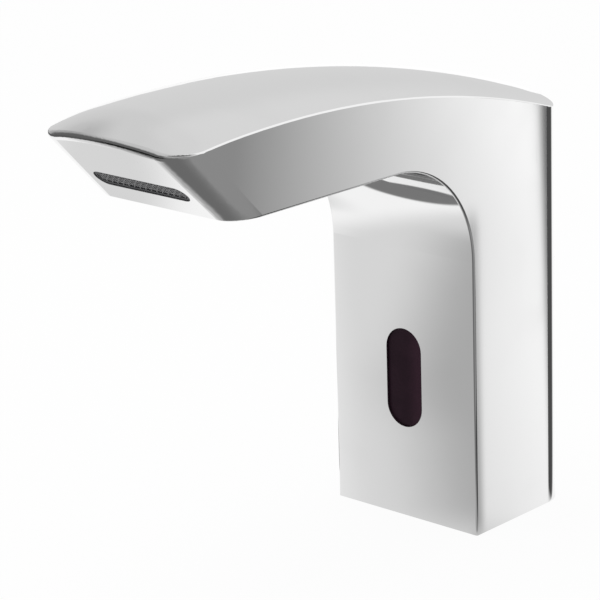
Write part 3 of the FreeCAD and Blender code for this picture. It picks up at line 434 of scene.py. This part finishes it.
def winding():
    """Tape over copper wire: a lap edge climbs round the coil."""
    material, nodes, place = new_material("winding_tape")
    amber, shadowed = (0.62, 0.33, 0.06), (0.34, 0.15, 0.03)
    lap_rate, climb_rate, weave_rate = 2100.0, 160.0, 16000.0  # in radians a metre
    x, _, z = nodes.axes(place)
    laps = (z * lap_rate + x * climb_rate).sine().ramp(0.6, 0.95)
    weave = (z * weave_rate).wave()
    nodes.finish(Base_Color=nodes.blend(laps * 0.6 + weave * 0.15, amber, shadowed),
                 Roughness=0.32 + weave * 0.08,
                 Normal=nodes.bump(laps + weave * 0.3, depth=0.05 * MM, strength=0.5))
    return material


def give(material, *names):
    """The same finish on every slot of these construction nodes."""
    for name in names:
        for slot in frame["nodes"][name].material_slots:
            slot.material = material


# ------------------------------------------------------------------ woven and wound pieces
POINTS_PER_PITCH = 8.0
POINTS_PER_TURN = 40
SCREEN_WIRE_SIDES = 6
SPRING_WIRE_SIDES = 10


def geometry_group(name, **sizes):
    """A new geometry group with named inputs; returns its nodes and the inputs as values."""
    tree = bpy.data.node_groups.new(name, "GeometryNodeTree")
    for title, kind in dict(sizes, Material="NodeSocketMaterial").items():
        tree.interface.new_socket(title, in_out="INPUT", socket_type=kind)
    tree.interface.new_socket("Geometry", in_out="OUTPUT", socket_type="NodeSocketGeometry")
    nodes = Nodes(tree)
    entry = nodes.add("NodeGroupInput")
    values = {title: Value(nodes, entry.outputs[title]) for title in sizes}
    return nodes, values, entry.outputs["Material"]


def close_group(nodes, geometry, material):
    """Ends a geometry group: plain smooth mesh with its material."""
    smooth = nodes.add("GeometryNodeSetShadeSmooth", inputs={"Geometry": geometry})
    solid = nodes.add("GeometryNodeRealizeInstances", inputs={"Geometry": smooth.outputs[0]})
    dressed = nodes.add("GeometryNodeSetMaterial", inputs={
        "Geometry": solid.outputs[0], "Material": material})
    nodes.add("NodeGroupOutput", inputs={"Geometry": dressed.outputs[0]})
    return nodes.tree


def baked(group, **values):
    """The plain mesh that a geometry group makes from these inputs."""
    carrier = bpy.data.objects.new("carrier", bpy.data.meshes.new("carrier"))
    bpy.context.collection.objects.link(carrier)
    modifier = carrier.modifiers.new("pattern", "NODES")
    modifier.node_group = group
    for item in group.interface.items_tree:
        if item.in_out == "INPUT":
            modifier[item.identifier] = values[item.name]
    evaluated = carrier.evaluated_get(bpy.context.evaluated_depsgraph_get())
    mesh = bpy.data.meshes.new_from_object(evaluated)
    carrier.modifiers.remove(modifier)
    bpy.data.objects.remove(carrier)
    return mesh


def round_wire(nodes, path, wire, sides):
    """A round wire of this diameter along a path."""
    ring = nodes.add("GeometryNodeCurvePrimitiveCircle", inputs={
        "Resolution": sides, "Radius": wire * 0.5})
    swept = nodes.add("GeometryNodeCurveToMesh", inputs={
        "Curve": path, "Profile Curve": ring.outputs[0], "Fill Caps": True})
    return swept.outputs[0]


def wire_row(nodes, length, span, pitch, across):
    """Straight wires side by side; across is true for the short wires that cross the slot."""
    def point(along_wire, along_row):
        x, y = (along_row, along_wire) if across else (along_wire, along_row)
        return nodes.vector(x, y, 0.0)

    clear_of_end = 0.2  # in pitches
    half = length * 0.5
    start, end = (point(half * side, 0.0) for side in (-1.0, 1.0))
    line = nodes.add("GeometryNodeCurvePrimitiveLine", inputs={"Start": start, "End": end})
    points = (length / pitch * POINTS_PER_PITCH).floor() + 1.0
    fine = nodes.add("GeometryNodeResampleCurve", inputs={"Curve": line.outputs[0], "Count": points})
    pairs = (span / pitch * 0.5 - clear_of_end).floor()
    row = nodes.add("GeometryNodeMeshLine", inputs={
        "Count": pairs * 2.0 + 1.0, "Start Location": point(0.0, pairs * pitch * -1.0),
        "Offset": point(0.0, pitch)})
    wires = nodes.add("GeometryNodeInstanceOnPoints", inputs={
        "Points": row.outputs[0], "Instance": fine.outputs[0]})
    joined = nodes.add("GeometryNodeRealizeInstances", inputs={"Geometry": wires.outputs[0]})
    return joined.outputs[0]


def half_chord(radius, offset):
    """Half the chord of a circle at this distance from its middle."""
    return (radius * radius - offset * offset) ** 0.5


def woven_sheet(nodes, width, height, pitch, wire, across):
    """One of the screen's two sheets of wires: cut to the slot, and waved over and under the other."""
    end_radius = height * 0.5
    straight = width * 0.5 - end_radius
    almost_end = end_radius * 0.98  # keeps the outermost wires from shrinking to nothing
    over_or_under = 0.5 if across else -0.5
    length, span = (height, width) if across else (width, height)
    wires = wire_row(nodes, length - wire, span, pitch, across)
    x, y, _ = nodes.axes(nodes.add("GeometryNodeInputPosition").outputs[0])
    if across:
        past_straight = (abs(x) - straight).at_least(0.0).at_most(almost_end)
        y = y * half_chord(end_radius, past_straight) / end_radius
    else:
        x = x * (straight + half_chord(end_radius, y)) / (width * 0.5)
    wave = ((x + y) / pitch * math.pi).cosine() * wire * over_or_under
    woven = nodes.add("GeometryNodeSetPosition", inputs={
        "Geometry": wires, "Position": nodes.vector(x, y, wave)})
    return round_wire(nodes, woven.outputs[0], wire, SCREEN_WIRE_SIDES)


def woven_screen():
    """Wires that pass over and under each other inside a slot with round ends."""
    nodes, size, material = geometry_group(
        "woven_screen", Width="NodeSocketFloat", Height="NodeSocketFloat", Pitch="NodeSocketFloat",
        Wire="NodeSocketFloat", Place="NodeSocketVector", Turn="NodeSocketVector")
    width, height, pitch, wire = (size[name] for name in ("Width", "Height", "Pitch", "Wire"))
    sheets = [woven_sheet(nodes, width, height, pitch, wire, across) for across in (True, False)]
    screen = nodes.add("GeometryNodeJoinGeometry")
    for sheet in sheets:
        nodes.tree.links.new(sheet, screen.inputs[0])
    placed = nodes.add("GeometryNodeTransform", inputs={
        "Geometry": screen.outputs[0], "Translation": size["Place"], "Rotation": size["Turn"]})
    return close_group(nodes, placed.outputs[0], material)


def coiled_wire():
    """One round wire in an open coil that climbs along z."""
    nodes, size, material = geometry_group(
        "coiled_wire", Turns="NodeSocketFloat", Radius="NodeSocketFloat", Length="NodeSocketFloat",
        Wire="NodeSocketFloat", Place="NodeSocketVector")
    path = nodes.add("GeometryNodeCurveSpiral", inputs={
        "Resolution": POINTS_PER_TURN, "Rotations": size["Turns"], "Start Radius": size["Radius"],
        "End Radius": size["Radius"], "Height": size["Length"]})
    coil = round_wire(nodes, path.outputs[0], size["Wire"], SPRING_WIRE_SIDES)
    placed = nodes.add("GeometryNodeTransform", inputs={
        "Geometry": coil, "Translation": size["Place"]})
    return close_group(nodes, placed.outputs[0], material)


def piece_from(mesh, name, body, slot, *replaced):
    """A finished piece: it sits at the origin, rides on its body and stands for replaced nodes."""
    obj = bpy.data.objects.new(name, mesh)
    bpy.context.collection.objects.link(obj)
    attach(obj, body)
    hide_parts(*replaced)
    return obj


def outlet_screen(material):
    """The screen in its node's place: woven flat, then turned about x into the 45 degree face."""
    sizes = choices("tap_outlet")
    face_turn = math.radians(135.0)
    low, high = (Vector(corner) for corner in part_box("outlet_mesh"))
    height = (high.y - low.y) * math.sqrt(2.0) - sizes.depth
    mesh = baked(woven_screen(), Width=high.x - low.x, Height=height, Pitch=sizes.pitch,
                 Wire=sizes.wire, Place=(low + high) / 2, Turn=(face_turn, 0.0, 0.0),
                 Material=material)
    piece_from(mesh, "woven_screen", "tap", "mesh_plastic", "outlet_mesh")


def pressing_joint(node):
    """The joint that presses a spring, and the height of the spring's end that stays in place."""
    for joint in frame["record"]["behaviour"]["joints"]:
        for deforming in joint.get("deforming_nodes", []):
            if deforming["node"] == node:
                return joint, deforming["fixed_end_z_m"]
    raise LookupError("no joint presses " + node)


def spring(node, turns, wire, material):
    """A coil spring in its node's place; the joint that presses it is looked up, but the spring does not
    shorten with it.
    """
    low, high = (Vector(corner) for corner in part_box(node))
    middle = (low + high) / 2
    mesh = baked(coiled_wire(), Turns=turns, Radius=(high.x - low.x - wire) / 2,
                 Length=high.z - low.z - wire, Wire=wire,
                 Place=(middle.x, middle.y, low.z + wire / 2), Material=material)
    piece = piece_from(mesh, "coiled_" + node, "tap", "spring_steel", node)
    joint, fixed = pressing_joint(node)
    length = max(fixed - low.z, high.z - fixed)
    1 - joint["range_m"][1] / length
    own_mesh(piece)


# ------------------------------------------------------------------ tones that the plating mirrors
# The column in plan: its middle is the origin, and the casting is no wider and ends at its back.
COLUMN_RIGHT, COLUMN_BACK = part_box("body_shell")[1][:2]
REAR_ROUNDING = 10.0 * MM
FRONT_EDGE = (COLUMN_RIGHT, -COLUMN_BACK)
REAR_CORNER = (COLUMN_RIGHT, COLUMN_BACK - REAR_ROUNDING)

# Headings on the floor once the column's right side has mirrored them: of the camera's view,
# and of its rays by the side's front edge and towards its rear.
VIEW_HEADING = (0.678, 0.735)
FRONT_EDGE_HEADING = (0.631, 0.776)
REAR_HEADING = (0.617, 0.787)


def right_of_ray(x, y, start, heading):
    """How far a point on the floor is to the right of a ray; to the left it is negative."""
    return (x - start[0]) * heading[1] - (y - start[1]) * heading[0]


def disc(x, y, centre, inner, outer):
    """1 inside a soft disc on the floor, 0 outside it."""
    return distance(x, y, centre).ramp(outer, inner)


def front_floor(across, along):
    """The floor in front of the column: nearly white, with greyer bands to the right."""
    fan = ((along + 0.17) * 0.15).at_least(-0.018).at_most(0.005) * along.ramp(-0.07, -0.13)
    fanned = across + fan
    first_band = across.ramp(-0.020, 0.010)
    second_band = fanned.ramp(0.0, 0.046)
    third_band = fanned.ramp(0.045, 0.085)
    pale_corner = across.ramp(0.06, 0.10) * along.ramp(-0.09, 0.06)
    far_front = along.ramp(-0.33, -0.45)
    tone = 0.98 - first_band * 0.25 - second_band * 0.30 - third_band * 0.28 + pale_corner * 0.14
    return tone.darkened(far_front, 0.9)


def side_floor(across, along):
    """The floor beside and behind the column: it darkens steadily to the right."""
    palest, darkest, fall_per_metre = 1.04, 0.27, 6.3
    near = along.ramp(0.35, 0.10)
    return (0.94 - across * fall_per_metre + near * 0.08).at_most(palest).at_least(darkest)


def floor_tone(x, y):
    """How bright the studio floor is where the plating mirrors it; places are in metres."""
    across = x * VIEW_HEADING[1] - y * VIEW_HEADING[0]
    along = x * VIEW_HEADING[0] + y * VIEW_HEADING[1]
    beyond_front = along.ramp(-0.03, 0.03)
    tone = front_floor(across, along).towards(side_floor(across, along), beyond_front)
    # To the right of the ray that leaves the column's front edge the floor is in the dark.
    edge = right_of_ray(x, y, FRONT_EDGE, FRONT_EDGE_HEADING)
    dark_tone = along.ramp(-0.05, 0.10) * 0.04 + 0.03
    in_dark = edge.ramp(0.0005, 0.004) * edge.ramp(0.12, 0.07) * along.ramp(0.28, 0.22) * beyond_front
    tone = tone.towards(dark_tone, in_dark)
    # A thin line darkens the ray itself.
    line = edge.ramp(-0.0035, 0.0) * edge.ramp(0.004, 0.001)
    tone = tone.darkened(line * along.ramp(-0.01, 0.02) * along.ramp(0.36, 0.30), 0.5)
    # A black wedge lies behind the column's rear corner.
    rear = right_of_ray(x, y, REAR_CORNER, REAR_HEADING)
    bearing = (y - REAR_CORNER[1]).angle_from(x - REAR_CORNER[0])
    wedge = rear.ramp(0.0008, -0.0030) * bearing.ramp(1.55, 1.30) * along.ramp(0.0, 0.03)
    tone = tone.darkened(wedge, 0.93)
    # A dark disc lies to the left of the column, and a paler, wider one further out.
    tone = tone.darkened(disc(x, y, centre=(-0.070, -0.017), inner=0.021, outer=0.027), 0.8)
    return tone.darkened(disc(x, y, centre=(-0.140, -0.075), inner=0.010, outer=0.045), 0.27)


def sky_tone(x, y, z):
    """How bright the studio is in a direction, where the plating mirrors it."""
    straight_back = y.ramp(0.45, 0.70)
    back_but_far_left = x.ramp(-0.60, -0.35) * y.ramp(0.1, 0.4)
    back_right = x.ramp(-0.20, 0.05) * y.ramp(0.0, 0.3)
    far_left = x.ramp(-0.60, -0.84) * y.ramp(0.55, 0.0)
    tone = 0.655 + straight_back * 0.03 + back_but_far_left * 0.05
    tone = tone + back_right * 0.25 - far_left * 0.24
    # In front the studio is dark low down, and paler overhead and to the right.
    front_tone = 0.12 + z.ramp(0.35, 0.75) * 0.45 + x.ramp(0.0, 0.3) * 0.16
    tone = tone.towards(front_tone, y.ramp(0.1, -0.4))
    above_camera = x.ramp(0.0, 0.3) * y.ramp(0.35, 0.0) * z.ramp(0.5, 0.8)
    return tone.darkened(above_camera, 0.8)


# ------------------------------------------------------------------ operators
class TAP_OT_casting(bpy.types.Operator):
    """The plated casting"""
    bl_idname = "tap.casting"
    bl_label = "Casting"

    def execute(self, context):
        give(chrome(), "body_shell")
        return {"FINISHED"}


class TAP_OT_window(bpy.types.Operator):
    """The dark window in the column's front"""
    bl_idname = "tap.window"
    bl_label = "Sensor window"

    def execute(self, context):
        give(window_plastic(), "sensor_window")
        return {"FINISHED"}


class TAP_OT_rubber(bpy.types.Operator):
    """The seals, the cable's grommet and the diaphragm"""
    bl_idname = "tap.rubber"
    bl_label = "Rubber"

    def execute(self, context):
        give(rubber("black_rubber", colour=(0.014, 0.014, 0.014)),
             "window_gasket", "base_gasket", "cable_gland", "inlet_seal", "plunger_seal", "outlet_seal")
        give(rubber("red_rubber", colour=(0.36, 0.06, 0.035)), "diaphragm")
        return {"FINISHED"}


class TAP_OT_outlet(bpy.types.Operator):
    """The frame in the slanted slot and the screen in it"""
    bl_idname = "tap.outlet"
    bl_label = "Outlet"

    def execute(self, context):
        give(moulded("outlet_plastic", colour=(0.05, 0.05, 0.055), roughness=0.35), "outlet_cassette")
        outlet_screen(moulded("mesh_plastic", colour=(0.26, 0.26, 0.265), roughness=0.3))
        return {"FINISHED"}


class TAP_OT_mouldings(bpy.types.Operator):
    """The white, black and grey plastic pieces inside"""
    bl_idname = "tap.mouldings"
    bl_label = "Mouldings"

    def execute(self, context):
        give(moulded("white_plastic", colour=(0.72, 0.72, 0.69), grain_scale=2400.0, roughness=0.36),
             "flow_diffuser", "diaphragm_insert", "check_poppet", "check_guide")
        give(moulded("black_plastic", colour=(0.022, 0.022, 0.024)),
             "sensor_case", "coil_bobbin", "control_case", "control_lid")
        give(moulded("grey_plastic", colour=(0.22, 0.225, 0.24), grain_scale=2600.0, roughness=0.45),
             "valve_block", "valve_bonnet")
        return {"FINISHED"}


class TAP_OT_sensor(bpy.types.Operator):
    """The lamps behind the window and the strip that clamps their cup"""
    bl_idname = "tap.sensor"
    bl_label = "Sensor"

    def execute(self, context):
        give(lamp_epoxy("clear_lamp", colour=(0.62, 0.68, 0.80), clear=0.6), "infrared_emitter")
        give(lamp_epoxy("smoked_lamp", colour=(0.035, 0.028, 0.04), clear=0.1), "infrared_receiver")
        give(lamp_epoxy("red_lamp", colour=(0.50, 0.03, 0.02), clear=0.4), "status_led")
        give(metal("spring_strip", colour=(0.60, 0.61, 0.62), roughness=0.28,
                   marks=(2500.0, 900.0, 60.0)), "sensor_clamp")
        return {"FINISHED"}


class TAP_OT_boards(bpy.types.Operator):
    """The upright board behind the window and the flat one that decides when the water runs"""
    bl_idname = "tap.boards"
    bl_label = "Circuit boards"

    def execute(self, context):
        give(circuit_board("sensor_circuit_board", across=0, along=2), "sensor_board")
        give(circuit_board("control_circuit_board", across=0, along=1), "control_board")
        return {"FINISHED"}


class TAP_OT_foot(bpy.types.Operator):
    """The plate that closes the foot and the dirt screen in the water inlet"""
    bl_idname = "tap.foot"
    bl_label = "Foot"

    def execute(self, context):
        give(cast_zinc(), "base_plate")
        give(metal("strainer_steel", colour=(0.62, 0.62, 0.62), roughness=0.3,
                   marks=(4000.0, 4000.0, 4000.0), depth=0.02 * MM), "inlet_strainer")
        return {"FINISHED"}


class TAP_OT_screws(bpy.types.Operator):
    """The screws of the foot, the posts, the bonnet and the sensor"""
    bl_idname = "tap.screws"
    bl_label = "Screws"

    def execute(self, context):
        give(metal("steel_screws", colour=(0.58, 0.58, 0.58), roughness=0.22,
                   marks=(1800.0, 1800.0, 1800.0)),
             "base_screws", "post_screws", "bonnet_screws", "sensor_clamp_screws")
        return {"FINISHED"}


class TAP_OT_brass(bpy.types.Operator):
    """The turned pieces: the water's way in and out, and the posts under the valve"""
    bl_idname = "tap.brass"
    bl_label = "Turned brass"

    def execute(self, context):
        low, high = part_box("inlet_nipple")
        inlet_axis = ((low[0] + high[0]) / 2, (low[1] + high[1]) / 2)
        give(turned("turned_brass", colour=(0.72, 0.52, 0.22), roughness=0.18, centre=inlet_axis),
             "inlet_nipple", "check_valve_body", "valve_posts", "outlet_tube", "tube_nut")
        return {"FINISHED"}


class TAP_OT_springs(bpy.types.Operator):
    """The springs of the pilot valve and the check valve"""
    bl_idname = "tap.springs"
    bl_label = "Springs"

    def execute(self, context):
        sizes = choices("tap_springs")
        steel = metal("spring_steel", colour=(0.45, 0.45, 0.47), roughness=0.2,
                      marks=(900.0, 900.0, 5000.0))
        spring("plunger_spring", sizes.plunger_turns, sizes.wire, steel)
        spring("check_spring", sizes.check_turns, sizes.wire, steel)
        return {"FINISHED"}


class TAP_OT_solenoid(bpy.types.Operator):
    """The cores and their tube, the yoke, its nut and the winding"""
    bl_idname = "tap.solenoid"
    bl_label = "Solenoid"

    def execute(self, context):
        give(metal("core_steel", colour=(0.54, 0.54, 0.56), roughness=0.2, marks=(200.0, 200.0, 6000.0)),
             "core_tube", "fixed_core", "plunger")
        give(metal("zinc_steel", colour=(0.62, 0.63, 0.58), roughness=0.3, marks=(300.0, 2500.0, 300.0),
                   depth=0.01 * MM, stain=(0.85, 0.9, 0.8)), "coil_yoke", "coil_nut")
        give(winding(), "coil_winding")
        return {"FINISHED"}


# The camera's own axes, as the edges in the photograph give them.
CAMERA_RIGHT = (0.7419, 0.66987, -0.02944)
CAMERA_UP = (-0.18054, 0.24185, 0.95337)
CAMERA_BACK = (0.64575, -0.70199, 0.30036)

PAPER = (0.8, 0.8, 0.8, 1.0)
WHITE = (1.0, 1.0, 1.0, 1.0)
# How white the camera sees the floor; the rest is paper, which keeps the tap's shadow.
WHITE_SHARE = 0.95


def ray_masks(nodes):
    """Two masks: 1 for what the camera sees directly, and 1 for what a mirror shows."""
    paths = nodes.add("ShaderNodeLightPath")
    return [Value(nodes, paths.outputs[name]) for name in ("Is Camera Ray", "Is Glossy Ray")]


class TAP_OT_stage(bpy.types.Operator):
    """Camera, pale floor and soft studio"""
    bl_idname = "tap.stage"
    bl_label = "Stage"

    def execute(self, context):
        look = choices("tap_stage")
        context.scene.view_settings.view_transform = "Standard"
        self.camera(context, look)
        self.floor(context, look)
        self.studio(context, look)
        self.key_light(context, look)
        return {"FINISHED"}

    def camera(self, context, look):
        """The camera, placed and turned as the photograph's was."""
        camera = bpy.data.objects.new("camera", bpy.data.cameras.new("camera"))
        camera.data.sensor_width = 36.0
        camera.data.lens = look.lens
        camera.data.clip_start = 0.05
        turn = Matrix((CAMERA_RIGHT, CAMERA_UP, CAMERA_BACK)).transposed().to_4x4()
        camera.matrix_world = Matrix.Translation(look.place) @ turn
        context.collection.objects.link(camera)
        context.scene.camera = camera

    def floor(self, context, look):
        """Paper that lights the tap, looks white to the camera and toned to the plating."""
        reach = look.floor_reach
        corners = [(-reach, -reach, 0), (reach, -reach, 0), (reach, reach, 0), (-reach, reach, 0)]
        mesh = bpy.data.meshes.new("floor")
        mesh.from_pydata(corners, [], [(0, 1, 2, 3)])
        material, nodes, place = new_material("floor")
        x, y, _ = nodes.axes(place)
        seen, mirrored = ray_masks(nodes)
        paper = nodes.add("ShaderNodeBsdfDiffuse", inputs={"Color": PAPER}).outputs[0]
        toned = nodes.emission(nodes.grey(floor_tone(x, y)))
        unseen = nodes.add("ShaderNodeMixShader", inputs={0: mirrored, 1: paper, 2: toned})
        both = nodes.add("ShaderNodeMixShader", inputs={
            0: seen * WHITE_SHARE, 1: unseen.outputs[0], 2: nodes.emission(WHITE)})
        nodes.add("ShaderNodeOutputMaterial", inputs={"Surface": both.outputs[0]})
        mesh.materials.append(material)
        floor = bpy.data.objects.new("floor", mesh)
        context.collection.objects.link(floor)

    def studio(self, context, look):
        """The world: white to the camera, toned to the plating and plain light to the rest."""
        world = bpy.data.worlds.new("studio")
        context.scene.world = world
        world.use_nodes = True
        nodes = Nodes(world.node_tree)
        x, y, z = nodes.axes(nodes.add("ShaderNodeTexCoord").outputs["Generated"])
        seen, mirrored = ray_masks(nodes)
        level = sky_tone(x, y, z) * mirrored + (1.0 - mirrored) * look.diffuse_level
        level = level * (1.0 - seen) + seen
        light = nodes.add("ShaderNodeBackground", inputs={"Color": nodes.grey(level), "Strength": 1.0})
        nodes.add("ShaderNodeOutputWorld", inputs={"Surface": light.outputs[0]})

    def key_light(self, context, look):
        """A soft light overhead, which neither the camera nor the plating sees."""
        lamp = bpy.data.lights.new("key_light", "AREA")
        lamp.size = look.key_size
        lamp.energy = look.key_power
        key = bpy.data.objects.new("key_light", lamp)
        key.matrix_world = Matrix.Translation(look.key_place)
        key.visible_glossy = False
        key.visible_camera = False
        context.collection.objects.link(key)


class TAP_PT_panel(bpy.types.Panel):
    """Lists the steps in the sidebar"""
    bl_idname = "TAP_PT_panel"
    bl_label = "Sensor tap"
    bl_space_type = "VIEW_3D"
    bl_region_type = "UI"
    bl_category = "Tap"

    def draw(self, context):
        for step in STEPS:
            self.layout.operator(step.bl_idname)


STEPS = (TAP_OT_casting, TAP_OT_window, TAP_OT_rubber, TAP_OT_outlet, TAP_OT_mouldings,
         TAP_OT_sensor, TAP_OT_boards, TAP_OT_foot, TAP_OT_screws, TAP_OT_brass, TAP_OT_springs,
         TAP_OT_solenoid, TAP_OT_stage)
GROUPS = {"tap_outlet": OutletSizes, "tap_springs": SpringSizes, "tap_chrome": ChromeFinish,
          "tap_window": WindowFinish, "tap_stage": StageSettings}


def register():
    for group in GROUPS.values():
        bpy.utils.register_class(group)
    for name, group in GROUPS.items():
        setattr(bpy.types.Scene, name, PointerProperty(type=group))
    for item in STEPS + (TAP_PT_panel,):
        bpy.utils.register_class(item)


def unregister():
    for item in reversed(STEPS + (TAP_PT_panel,)):
        bpy.utils.unregister_class(item)
    for name in GROUPS:
        delattr(bpy.types.Scene, name)
    for group in reversed(list(GROUPS.values())):
        bpy.utils.unregister_class(group)


def main():
    """Makes every piece and the stage."""
    register()
    for step in STEPS:
        group, name = step.bl_idname.split(".")
        getattr(getattr(bpy.ops, group), name)()


if __name__ == "__main__":
    main()
